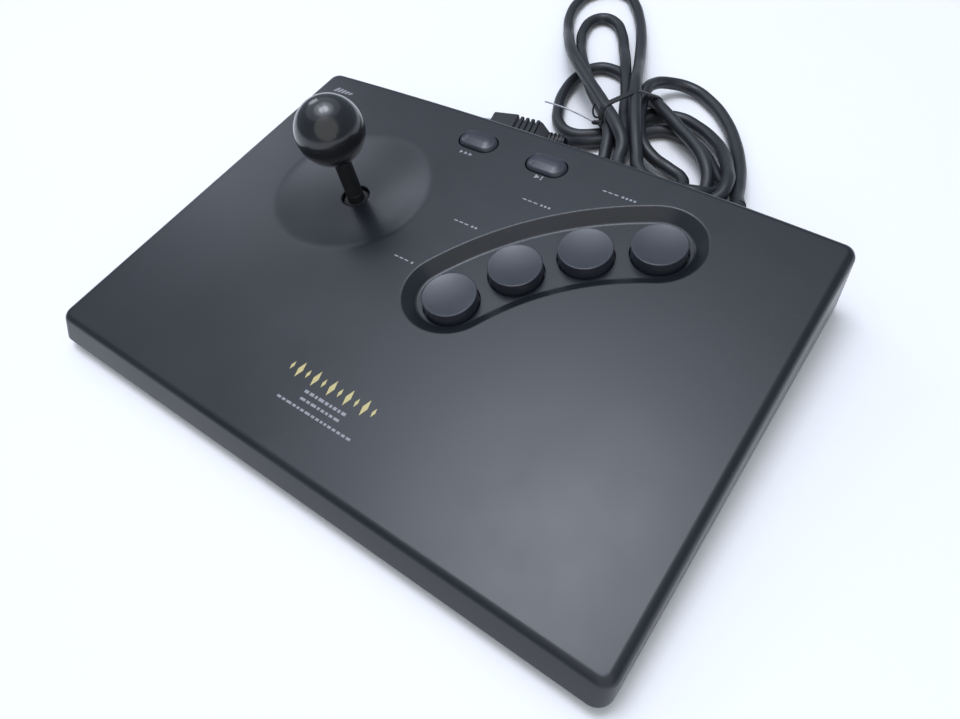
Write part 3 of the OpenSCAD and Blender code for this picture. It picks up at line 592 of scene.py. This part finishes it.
def fill_between(outer, holes):
    """Triangles of the flat region inside one outline and outside the others, as (points, faces)."""
    points, edges = [], []
    for loop in [outer] + holes:
        start, n = len(points), len(loop)
        points.extend(Vector(p) for p in loop)
        edges.extend((start + i, start + (i + 1) % n) for i in range(n))
    verts, _, faces, *_ = delaunay_2d_cdt(points, edges, [], 1, 1e-5)
    kept = []
    for face in faces:
        centre = sum((verts[i] for i in face), Vector((0, 0))) / len(face)
        if inside(centre, outer) and not any(inside(centre, h) for h in holes):
            kept.append(face)
    return verts, kept


def inside(p, loop):
    hit = False
    for (x0, y0), (x1, y1) in zip(loop, loop[1:] + loop[:1]):
        if (y0 > p[1]) != (y1 > p[1]) and p[0] < (x1 - x0) * (p[1] - y0) / (y1 - y0) + x0:
            hit = not hit
    return hit


def add_flat(shape, outer, holes, n):
    verts, faces = fill_between(outer, holes)
    start = len(shape.verts)
    shape.verts.extend(panel(v[0], v[1], n) for v in verts)
    shape.faces.extend(tuple(start + i for i in f) for f in faces)


def foot_ring(inset, z):
    return [world(x, y, z) for x, y in case_outline(-CASE_D / 2, REAR_LEAN, inset)]


def edge_frames():
    """For each point round the case: centre of the edge's arc (x, v) and its outward way in the panel."""
    front = -CASE_D / 2 + FRONT_LEAN
    frames = []
    for core, outer in zip(case_outline(front, 0.0, EDGE_R), case_outline(front, 0.0, 0.0)):
        v = (core[1] - EDGE_R * math.sin(TILT)) / math.cos(TILT)
        way = (Vector(outer) - Vector(core)).normalized()
        frames.append(((core[0], v), way))
    return frames


def edge_end(centre, way, foot):
    """Angle at which the edge's arc runs straight into the wall that ends at the foot point."""
    origin = panel(*centre, -EDGE_R)
    outward = panel(centre[0] + way.x, centre[1] + way.y, -EDGE_R) - origin
    upward = panel(*centre, 1.0 - EDGE_R) - origin
    reach = (foot - origin).dot(outward) / MM ** 2
    height = (foot - origin).dot(upward) / MM ** 2
    return math.atan2(reach, height) - math.acos(EDGE_R / math.hypot(reach, height))


def edge_rings(steps):
    """Rings of the rounded top edge, each point turning down until it meets its own wall."""
    frames = edge_frames()
    feet = foot_ring(0.0, SKIRT_Z + 1.0)
    ends = [edge_end(centre, way, foot) for (centre, way), foot in zip(frames, feet)]
    rings = []
    for j in range(steps + 1):
        ring = []
        for ((x, v), way), end in zip(frames, ends):
            a = end * j / steps
            out = EDGE_R * math.sin(a)
            ring.append(panel(x + way.x * out, v + way.y * out, EDGE_R * (math.cos(a) - 1)))
        rings.append(ring)
    return rings


def make_case(material):
    shape = Shape()
    rings = edge_rings(12)
    rings.append(foot_ring(0.0, SKIRT_Z + 1.0))
    rings.append(foot_ring(0.0, SKIRT_Z + 0.4))
    rings.append(foot_ring(0.12, SKIRT_Z + 0.12))
    rings.append(foot_ring(0.4, SKIRT_Z))
    shape.loft(rings)

    trough = trough_profile()
    shape.loft([[panel(x, v, n) for x, v in trough_outline(half)] for half, n in trough])
    dish = dish_profile()
    shape.loft([[panel(x, v, n) for x, v in circle(DISH, r, 128)] for r, n in dish])

    hole_edge = 0.35
    key_rims = []
    for at in KEYS.values():
        length, width = KEY_L + 2 * KEY_CLEAR, KEY_W + 2 * KEY_CLEAR
        loops = []
        for inset, drop in fillet(hole_edge, 4):
            rim = stadium(length + 2 * inset, width + 2 * inset)
            loops.append([(at[0] + x, at[1] + y, -drop) for x, y in rim])
        loops.append([(at[0] + x, at[1] + y, -WALL - 1.2) for x, y in stadium(length, width)])
        shape.loft([[panel(*p) for p in loop] for loop in loops])
        key_rims.append([p[:2] for p in loops[0]])

    button_rims = []
    for degrees in BUTTON_ANGLES:
        at = on_arc(ARC_R, degrees)
        levels = [(HOLE_R + inset, -RECESS - drop) for inset, drop in fillet(hole_edge, 4)]
        levels.append((HOLE_R, -BOSS))
        shape.loft([[panel(x, v, n) for x, v in circle(at, r, 96)] for r, n in levels])
        button_rims.append(circle(at, levels[0][0], 96))

    top_outline = [centre for centre, _ in edge_frames()]
    holes = [trough_outline(trough[0][0]), circle(DISH, dish[0][0], 128)] + key_rims
    add_flat(shape, top_outline, holes, 0.0)
    add_flat(shape, trough_outline(trough[-1][0]), button_rims, -RECESS)
    obj = shape.object("case_shell", 50.0, face_up=True)
    add_solidify(obj, 1.6)
    add_weighted_normals(obj)
    return keep(obj, "case", material, "case_black", "upper_shell")


# ---------------------------------------------------------------- controls

def place_at(x, v, lift=0.0):
    return lambda px, py, pz: panel(x + px, v + py, pz + lift)


def make_button(letter, degrees, material):
    """Cap with a dished top, a soft rim, a side that runs down to the flange, and the stem below."""
    rim, dip = 0.5, 0.9
    bowl_r = ((CAP_R - rim) ** 2 + dip ** 2) / (2 * dip)
    profile = [(0.0, CAP_RISE - dip)]
    profile += [(r, CAP_RISE - dip + bowl_r - math.sqrt(bowl_r ** 2 - r ** 2))
                for r in ((CAP_R - rim) * i / 12 for i in range(1, 12))]
    for i in range(11):
        a = math.radians(-10 + 100 * i / 10)
        profile.append((CAP_R - rim + rim * math.sin(a), CAP_RISE - rim + rim * math.cos(a)))
    flange_top, flange_r = -BOSS - 0.4, 13.2
    profile += [(CAP_R, flange_top), (flange_r - 0.2, flange_top), (flange_r, flange_top - 0.2),
                (flange_r, flange_top - 1.4), (CAP_R - 1.6, flange_top - 1.4), (CAP_R - 1.6, CAP_RISE - 3.2),
                (3.5, CAP_RISE - 3.2), (3.5, -10.8), (3.3, -11.0), (0.0, -11.0)]
    obj = lathe("button_cap_" + letter, profile, place_at(*on_arc(ARC_R, degrees)), 128, 45.0)
    return keep(obj, "button_" + letter, material, "button_dark", "button_" + letter)


def make_key(name, at, body, material):
    """Oval key: a crowned top with round shoulders, a plain side, a flange below and a short stem."""
    shape = Shape()
    place = place_at(*at)
    r = KEY_W / 2
    shoulder = 1.9
    crown = 0.75
    side_top = KEY_RISE - crown - shoulder
    rings = []
    for i in range(1, 9):
        share = i / 9
        height = KEY_RISE - crown * share ** 2
        rings.append((shoulder + (r - shoulder) * (1 - share), height))
    for inset, drop in fillet(shoulder, 9, 8.0):
        rings.append((inset, KEY_RISE - crown - drop))
    rings.append((0.0, -2.9))
    made = []
    for inset, z in rings:
        ring = []
        for x, y in stadium(KEY_L - 2 * inset, KEY_W - 2 * inset, 24):
            fall = 0.9 * (x / (KEY_L / 2)) ** 2 if z > side_top else 0.0
            ring.append(place(x, y, z - fall))
        made.append(shape.ring(ring))
    for a, b in zip(made, made[1:]):
        shape.join(a, b)
    shape.fan(made[0], place(0, 0, KEY_RISE))
    last = made[-1]
    flange_and_stem = ((24.0, 15.0, -2.9), (24.0, 15.0, -4.1), (4.0, 4.0, -4.1), (4.0, 4.0, -6.8),
                       (3.6, 3.6, -7.0))
    for length, width, z in flange_and_stem:
        ring = shape.ring([place(x, y, z) for x, y in stadium(length, width, 24)])
        shape.join(last, ring)
        last = ring
    shape.cap(last)
    obj = shape.object(name + "_cap", 50.0)
    return keep(obj, body, material, "key_dark", name)


def make_ball(material):
    """Glossy ball with a fine mould line round a great circle and a small flat at the shaft."""
    shape = Shape()
    rows, columns = 96, 192
    base_angle = math.pi - math.asin(5.0 / BALL_R)
    place = place_at(*DISH, BALL_Z)
    line_turn = math.radians(62.0)
    rings = []
    for j in range(1, rows + 1):
        polar = base_angle * j / rows
        ring = []
        for i in range(columns):
            a = 2 * math.pi * i / columns
            reach = math.sin(polar)
            direction = Vector((reach * math.cos(a), reach * math.sin(a), math.cos(polar)))
            off_line = BALL_R * (direction.x * math.cos(line_turn) + direction.y * math.sin(line_turn))
            r = BALL_R - 0.06 + 0.05 * math.exp(-(off_line / 0.35) ** 2)
            ring.append(place(*(direction * r)))
        rings.append(ring)
    made = shape.loft(rings)
    shape.fan(made[0], place(0, 0, BALL_R - 0.06))
    shape.cap(made[-1])
    obj = shape.object("ball_top", 35.0)
    return keep(obj, "lever", material, "ball_black", "ball_knob")


def make_shaft(material):
    """Lever shaft: black sleeve with a turned groove near its foot, and the parts below the pivot."""
    seat = BALL_Z - math.sqrt(BALL_R ** 2 - 16.0)
    profile = [(0.0, -20.8), (2.3, -20.8), (2.5, -20.6), (2.5, -20.4), (2.0, -20.4), (2.0, -20.0),
               (2.5, -20.0), (2.5, -16.85), (3.0, -16.85), (3.0, -10.5), (3.8, -10.5), (4.0, -10.3),
               (4.0, -2.2), (3.85, -2.0), (3.85, -1.4), (4.0, -1.2), (4.0, seat - 1.4), (3.7, seat - 1.0),
               (3.7, seat), (2.5, seat), (2.5, BALL_Z - 4.2), (2.3, BALL_Z - 4.0), (0.0, BALL_Z - 4.0)]
    obj = lathe("lever_rod", profile, place_at(*DISH), 64, 35.0)
    return keep(obj, "lever", material, "shaft_black", "lever_shaft")


# ---------------------------------------------------------------- printed marks

def add_mark(shape, points, lift=0.02, thickness=0.04):
    """Thin flat patch of ink with the given outline on the panel."""
    low = shape.ring([panel(x, v, lift - thickness) for x, v in points])
    high = shape.ring([panel(x, v, lift) for x, v in points])
    shape.join(low, high)
    shape.cap(list(reversed(low)))
    shape.cap(high)


def turned(points, at, degrees=0.0):
    c, s = math.cos(math.radians(degrees)), math.sin(math.radians(degrees))
    return [(at[0] + x * c - y * s, at[1] + x * s + y * c) for x, y in points]


def bar(width, height, lean=0.0):
    return [(-width / 2 - lean, -height / 2), (width / 2 - lean, -height / 2),
            (width / 2 + lean, height / 2), (-width / 2 + lean, height / 2)]


def dash_row(shape, at, widths, height, gap, lean=0.0):
    """A row of short dashes centred on a point."""
    total = sum(widths) + gap * (len(widths) - 1)
    x = at[0] - total / 2
    for width in widths:
        add_mark(shape, turned(bar(width, height, lean), (x + width / 2, at[1])))
        x += width + gap


def make_marks(materials):
    pale = Shape()
    labels = [(-16.8, 4.7), (-5.8, 33.8), (14.3, 58.2), (43.1, 77.9)]
    for count, (x, v) in enumerate(labels, 1):
        dash_row(pale, (x - 2.6, v), [2.0, 2.0, 2.0], 0.62, 0.8)
        for i in range(count):
            add_mark(pale, circle((x + 3.4 + 1.9 * i, v), 0.62, 20))
    for i in (-1, 0, 1):
        add_mark(pale, turned([(-0.9, -1.0), (0.9, 0.0), (-0.9, 1.0)], (-33.2 + 2.6 * i, 71.5)))
    add_mark(pale, turned([(-1.1, -1.3), (1.3, 0.0), (-1.1, 1.3)], (6.0, 72.6)))
    add_mark(pale, turned(bar(0.6, 2.6), (8.4, 72.6)))
    rng = random.Random(5)
    for v, count, height in ((-66.9, 9, 1.3), (-70.2, 8, 1.1), (-74.0, 16, 1.0)):
        widths = [rng.choice((1.2, 1.6, 2.0, 2.6)) for _ in range(count)]
        dash_row(pale, (0.5, v), widths, height, 0.75)
    for i in range(5):
        add_mark(pale, turned(bar(1.5, 3.4 - 0.4 * i, 0.7), (-127.5 + 2.4 * i, 82.6)))
    obj = pale.object("printed_marks")
    keep(obj, "case", materials["ink"], "case_black")

    gold = Shape()
    for i in range(-5, 6):
        height = 7.6 if i % 2 == 0 else 4.2
        width = 2.5 if i % 2 == 0 else 1.5
        lozenge = [(0, -height / 2), (width / 2, 0), (0, height / 2), (-width / 2, 0)]
        add_mark(gold, turned(lozenge, (-1.5 + 4.3 * i, -60.6)))
    obj = gold.object("gold_ornament")
    keep(obj, "case", materials["gold_ink"], "case_black")


# ---------------------------------------------------------------- cord, relief, plug and tie

def make_cord(material):
    curve = bpy.data.curves.new("cord", "CURVE")
    curve.dimensions = "3D"
    spline = curve.splines.new("BEZIER")
    spline.bezier_points.add(len(CORD_ROUTE) - 1)
    for point, at in zip(spline.bezier_points, CORD_ROUTE):
        point.co = at
        point.handle_left_type = point.handle_right_type = "AUTO"
    spline.resolution_u = 6
    curve.bevel_depth = CORD_D / 2 * MM
    curve.bevel_resolution = 7
    curve.use_fill_caps = True
    curve.materials.append(material)
    obj = bpy.data.objects.new("cord_lead", curve)
    bpy.context.collection.objects.link(obj)
    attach(obj, "case")
    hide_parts("cord_tube")
    return obj


def make_relief(material):
    """Tapered strain relief with grooves, its collar near the rear wall and its flange inside."""
    out = CORD_WALL_Y
    profile = [(0.0, out - WALL - 5.6), (6.0, out - WALL - 5.6), (6.0, out - WALL - 3.6),
               (4.6, out - WALL - 3.6), (4.6, out + 1.0), (5.4, out + 1.0), (5.6, out + 1.2),
               (5.6, out + 2.2), (5.3, out + 2.5), (4.7, out + 2.5)]
    start, ribs = out + 3.0, 5
    pitch = (EXIT[1] - 1.2 - start) / ribs
    for i in range(ribs):
        y = start + i * pitch
        r = 4.66 - 1.15 * (i / ribs)
        groove = max(3.35, r - 0.7)
        profile += [(r, y), (r - 0.05, y + pitch * 0.55), (r - 0.2, y + pitch * 0.62),
                    (groove, y + pitch * 0.68), (groove, y + pitch * 0.92), (r - 0.2, y + pitch * 0.97)]
    profile += [(3.5, EXIT[1] - 0.5), (3.3, EXIT[1]), (0.0, EXIT[1])]
    obj = lathe("cord_relief", profile, lambda x, y, z: world(EXIT[0] + x, z, EXIT[2] + y), 64, 35.0)
    return keep(obj, "case", material, "rubber_black", "strain_relief")


def plug_point(x, y, z):
    """Plug frame: x along the plug from its cord end, z up."""
    c, s = math.cos(PLUG_TURN), math.sin(PLUG_TURN)
    return world(PLUG_AT[0] + x * c - y * s, PLUG_AT[1] + x * s + y * c, PLUG_AT[2] + z)


def rounded_rect(w, h, r, n=5):
    points = []
    for sx, sy, start in ((1, 1, 0), (-1, 1, 90), (-1, -1, 180), (1, -1, 270)):
        for i in range(n + 1):
            a = math.radians(start + 90 * i / n)
            points.append((sx * (w / 2 - r) + r * math.cos(a), sy * (h / 2 - r) + r * math.sin(a)))
    return points


def make_hood(material):
    """Moulded plug hood: sloped shoulder, four grip ribs and a plain body."""
    shape = Shape()
    stations = [(BOOT_LEN - 0.3, 8.6, 8.6, 2.6), (BOOT_LEN + 0.4, 9.6, 9.2, 2.4),
                (13.5, 15.6, 12.4, 2.0), (15.0, 17.2, 13.2, 1.8)]
    for i in range(4):
        x = 15.4 + 3.1 * i
        w, h = 18.2 + 0.9 * i, 13.8 + 0.12 * i
        stations += [(x, w - 2.6, h - 2.4, 1.6), (x + 0.25, w - 0.4, h - 0.3, 1.6), (x + 0.5, w, h, 1.7),
                     (x + 1.5, w, h, 1.7), (x + 1.75, w - 0.4, h - 0.3, 1.6),
                     (x + 2.0, w - 2.6, h - 2.4, 1.6)]
    stations += [(27.8, 19.4, 12.2, 1.6), (28.0, HOOD_W - 0.8, HOOD_H - 0.8, 1.6),
                 (28.5, HOOD_W, HOOD_H - 0.1, 1.8), (HOOD_END - 0.6, HOOD_W, HOOD_H - 0.1, 1.8),
                 (HOOD_END - 0.1, HOOD_W - 0.8, HOOD_H - 0.9, 1.6),
                 (HOOD_END, HOOD_W - 1.6, HOOD_H - 1.6, 1.4)]
    rings = [[plug_point(x, y, z) for y, z in rounded_rect(w, h, r)] for x, w, h, r in stations]
    made = shape.loft(rings)
    shape.cap(made[0])
    shape.cap(made[-1])
    obj = shape.object("plug_grip", 32.0)
    return keep(obj, "case", material, "plug_black", "plug_hood")


def make_boot(material):
    """Short ribbed boot where the cord enters the plug."""
    profile = [(0.0, 0.0), (3.4, 0.0), (3.7, 0.3)]
    for i in range(4):
        x, r = 1.0 + 2.1 * i, 4.35 + 0.2 * i
        profile += [(3.75, x), (r, x + 0.2), (r + 0.1, x + 0.6), (r, x + 1.0), (3.8, x + 1.2)]
    profile += [(4.2, BOOT_LEN), (0.0, BOOT_LEN)]
    obj = lathe("plug_cord_boot", profile, lambda x, y, z: plug_point(z, x, y), 48, 35.0)
    return keep(obj, "case", material, "plug_black", "plug_boot")


def tie_point(along, across, up):
    """Tie frame: along the band's long way, across it, and up from the table."""
    c, s = math.cos(TIE_TURN), math.sin(TIE_TURN)
    return world(TIE_AT[0] + along * c - across * s, TIE_AT[1] + along * s + across * c, up)


def around_strands(r, n=96):
    """Loop drawn tight round the strands, r from their centres."""
    loop = []
    for i in range(n):
        a = 2 * math.pi * i / n
        c, s = math.cos(a), math.sin(a)
        x, z = max(TIE_STRANDS, key=lambda p: p[0] * c + p[1] * s)
        loop.append((x + r * c, z + r * s))
    return loop


def tube_along(shape, path, r, n=10):
    """Round wire through world points in metres, closed at both ends."""
    rings = []
    side = None
    for i, p in enumerate(path):
        way = (path[min(i + 1, len(path) - 1)] - path[max(i - 1, 0)]).normalized()
        if side is None:
            side = way.orthogonal().normalized()
        side = (side - way * side.dot(way)).normalized()
        up = way.cross(side)
        rings.append([p + (side * x + up * y) * MM for x, y in circle((0, 0), r, n)])
    made = shape.loft(rings)
    shape.cap(made[0])
    shape.cap(made[-1])


def make_tie(material, wire_material):
    """Plastic-covered wire band round the bundle, with its twisted knot, a curl and a straight end."""
    shape = Shape()
    section = [(-1.7, 0.1), (-1.5, 0.8), (-0.6, 0.62), (0.0, 0.9), (0.6, 0.62), (1.5, 0.8), (1.7, 0.1),
               (1.5, 0.03), (-1.5, 0.03)]
    made = [shape.ring([tie_point(x, across, z) for x, z in around_strands(CORD_D / 2 + out)])
            for across, out in section]
    for a, b in zip(made, made[1:] + made[:1]):
        shape.join(a, b)
    obj = shape.object("tie_band", 60.0)
    keep(obj, "case", material, "tie_black", "twist_tie")

    knot = Shape()
    for phase in (0.0, math.pi):
        path = []
        for i in range(33):
            t = i / 32
            a = phase + 5 * math.pi * t
            path.append(tie_point(-14.2 + 0.6 * math.cos(a) - 0.5 * t, -1.0 + 6.5 * t,
                                  12.0 - 3.0 * t + 0.7 * math.sin(a)))
        tube_along(knot, path, 0.62)
    curl = []
    for i in range(29):
        a = math.radians(-40 + 250 * i / 28)
        curl.append(tie_point(-10.5 - 4.8 * math.cos(a), 5.0 + 0.06 * i, 16.5 - 6.0 * math.sin(a)))
    tube_along(knot, curl, 0.5)
    obj = knot.object("tie_knot", 60.0)
    keep(obj, "case", material, "tie_black")

    wire = Shape()
    path = []
    for i in range(25):
        t = i / 24
        path.append(tie_point(-14.6 - 14.4 * t, 4.5 + 26.5 * t, 9.6 + 4.4 * t + 1.2 * math.sin(math.pi * t)))
    tube_along(wire, path, 0.42)
    obj = wire.object("tie_wire_end", 60.0)
    keep(obj, "case", wire_material, "spring_steel")
    return ["tie_band", "tie_knot", "tie_wire_end"]


# ---------------------------------------------------------------- floor and light

def make_floor():
    n = Nodes("floor_white", (0.97, 0.97, 0.97), 0.6)
    cloud = n.ramp(n.noise(3.0, 3.0), [(0.3, 0.0), (0.7, 1.0)])
    n.color_from(n.mix(cloud, (0.96, 0.965, 0.97), (0.98, 0.98, 0.98)))
    mesh = bpy.data.meshes.new("floor")
    half, z = 3.0, -0.0005
    corners = [(-half, -half, z), (half, -half, z), (half, half, z), (-half, half, z)]
    mesh.from_pydata(corners, [], [(0, 1, 2, 3)])
    obj = bpy.data.objects.new("floor", mesh)
    bpy.context.collection.objects.link(obj)
    mesh.materials.append(n.material)


def sky_point(azimuth, elevation, distance):
    """A point in metres, seen from the middle of the table."""
    a, e = math.radians(azimuth), math.radians(elevation)
    return Vector((math.cos(a) * math.cos(e), math.sin(a) * math.cos(e), math.sin(e))) * distance


def round_light(name, at, angle, glow, color):
    """Disc that faces the table: its half angle in degrees and the glow of its surface."""
    data = bpy.data.lights.new(name, "AREA")
    data.shape = "DISK"
    radius = at.length * math.tan(math.radians(angle))
    data.size = 2 * radius
    data.energy = glow * math.pi * math.pi * radius ** 2
    data.color = color
    obj = bpy.data.objects.new(name, data)
    bpy.context.collection.objects.link(obj)
    obj.location = at
    obj.rotation_euler = (-at).to_track_quat("-Z", "Y").to_euler()


def make_lights():
    """A bright diffuser overhead that fades outward in steps, a far window, and a dim blue room."""
    background = bpy.data.worlds.new("room")
    background.use_nodes = True
    shade = background.node_tree.nodes["Background"]
    shade.inputs["Color"].default_value = (0.68, 0.83, 1.0, 1.0)
    shade.inputs["Strength"].default_value = 0.3
    bpy.context.scene.world = background
    cool = (0.84, 0.88, 1.0)
    round_light("diffuser_core", sky_point(145.0, 78.0, 2.0), 12.0, 7.2, cool)
    round_light("diffuser_middle", sky_point(145.0, 76.0, 2.05), 24.0, 1.5, cool)
    round_light("diffuser_edge", sky_point(150.0, 70.0, 2.1), 42.0, 0.45, cool)
    round_light("far_window", sky_point(158.0, 30.0, 3.0), 8.0, 2.6, cool)
    round_light("room_fill", sky_point(-50.0, 40.0, 2.4), 38.0, 0.65, (1.0, 0.95, 0.9))
    bpy.context.scene.view_settings.view_transform = "Standard"


# ---------------------------------------------------------------- the whole object

def main():
    make_camera()
    materials = make_materials()
    cord = make_cord(materials["cord"])
    make_relief(materials["rubber"])
    make_hood(materials["plug"])
    make_boot(materials["plug"])
    tie_pieces = make_tie(materials["tie"], materials["tie_wire"])
    dress_nodes(materials)
    make_case(materials["case"])
    for letter, degrees in zip("abcd", BUTTON_ANGLES):
        make_button(letter, degrees, materials["button"])
    for name, at in KEYS.items():
        make_key(name, at, name.split("_")[0], materials["key"])
    make_ball(materials["ball"])
    make_shaft(materials["shaft"])
    make_marks(materials)
    make_floor()
    make_lights()


main()
